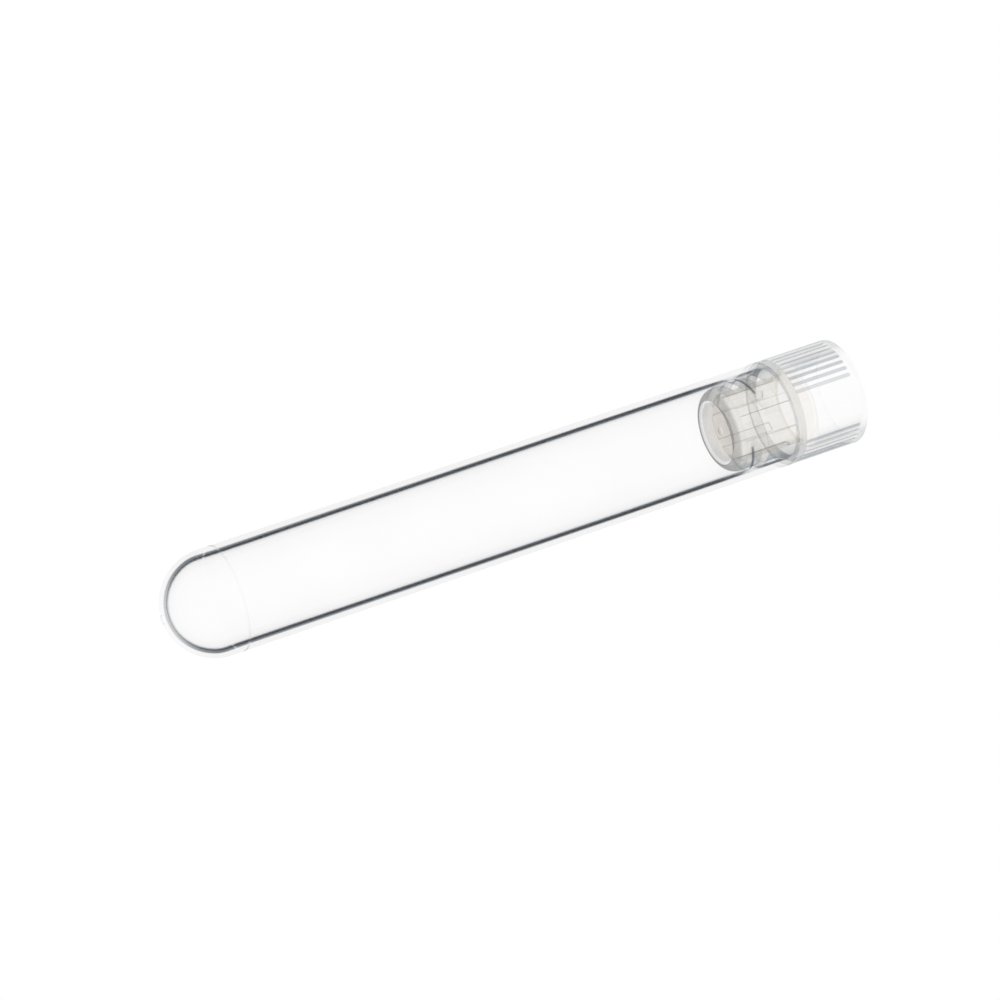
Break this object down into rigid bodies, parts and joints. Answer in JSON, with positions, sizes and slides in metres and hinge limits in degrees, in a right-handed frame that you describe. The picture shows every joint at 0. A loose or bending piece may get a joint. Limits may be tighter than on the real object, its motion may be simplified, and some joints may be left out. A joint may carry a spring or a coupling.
{
  "type": "cryovial",
  "caption": "Round-bottom clear plastic cryovial with an internal thread, a ribbed screw cap with a hollow plug, and a sealing washer.",
  "frame": {"origin": "centre of the cap's open rim, on the surface that the closed vial stands on", "axes": "+Z along the vial's axis towards its round end; -Y is the front, where the tube's thread ridge starts"},
  "size_m": [0.0126, 0.0126, 0.0872],
  "materials": {
    "clear_plastic": "clear, polished",
    "natural_plastic": "translucent natural, satin",
    "silicone": "translucent, smooth"
  },
  "bodies": {
    "cap": {"cap": "natural_plastic"},
    "washer": {"sealing_washer": "silicone"},
    "tube": {"tube": "clear_plastic"}
  },
  "joints": [
    {"name": "unscrew_turn", "type": "hinge", "parent": "cap", "child": "washer", "pos_m": [0, 0, 0.0093], "axis": [0, 0, 1], "range_deg": [0, 1080]},
    {"name": "unscrew_lift", "type": "slide", "parent": "washer", "child": "tube", "axis": [0, 0, 1], "range_m": [0, 0.009]}
  ],
  "couplings": [
    {"joint": "unscrew_lift", "follows": "unscrew_turn", "m_per_rad": 0.00047746}
  ]
}
